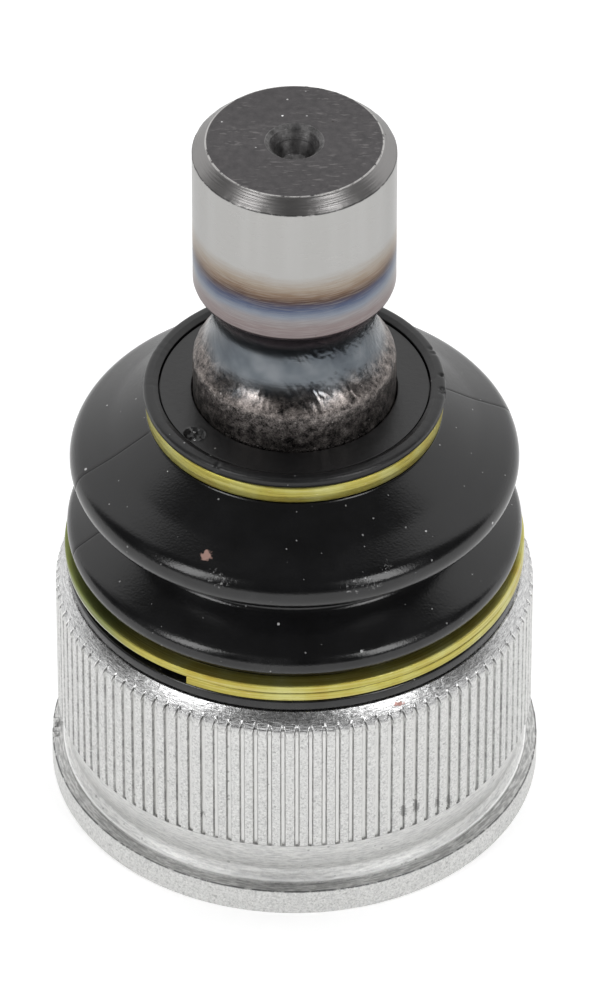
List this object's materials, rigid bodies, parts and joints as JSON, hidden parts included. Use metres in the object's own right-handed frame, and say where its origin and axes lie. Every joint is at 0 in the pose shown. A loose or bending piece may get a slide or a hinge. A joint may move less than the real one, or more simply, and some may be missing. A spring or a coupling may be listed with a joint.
{
  "type": "suspension ball joint",
  "caption": "Press-in suspension ball joint: a flanged housing with a knurled seat, a bellows boot held by wire clips, and a pinch-bolt stud on a ball.",
  "frame": {"origin": "centre of the housing's flat base, where the stud's axis meets it", "axes": "+Z along the stud, from the housing to the tip of the shank; -Y is the side that the picture shows"},
  "size_m": [0.0444, 0.0444, 0.0714],
  "materials": {
    "zinc_plating": "bright zinc plating, satin",
    "cover_steel": "zinc-plated sheet, satin",
    "spring_steel": "tempered, oiled",
    "seat_plastic": "moulded acetal, satin",
    "stud_steel": "ground shank, forged neck with heat tint",
    "boot_rubber": "satin moulded rubber",
    "insert_plastic": "moulded, satin",
    "clip_wire": "yellow-passivated zinc"
  },
  "bodies": {
    "housing": {"housing": "zinc_plating", "cover_plate": "cover_steel", "seat_spring": "spring_steel", "lower_bearing": "seat_plastic", "upper_bearing": "seat_plastic"},
    "boot": {"dust_boot": "boot_rubber", "lower_clip": "clip_wire"},
    "boot_top": {"boot_insert": "insert_plastic", "upper_clip": "clip_wire"},
    "stud": {"ball_stud": "stud_steel"}
  },
  "joints": [
    {"name": "swivel", "type": "hinge", "parent": "housing", "child": "boot", "pos_m": [0, 0, 0.01606], "axis": [0, 0, 1], "continuous": true},
    {"name": "tilt", "type": "hinge", "parent": "boot", "child": "boot_top", "pos_m": [0, 0, 0.01606], "axis": [1, 0, 0], "range_deg": [-20, 20], "deforming": ["dust_boot"]},
    {"name": "spin", "type": "hinge", "parent": "boot_top", "child": "stud", "pos_m": [0, 0, 0.01606], "axis": [0, 0, 1], "continuous": true}
  ]
}
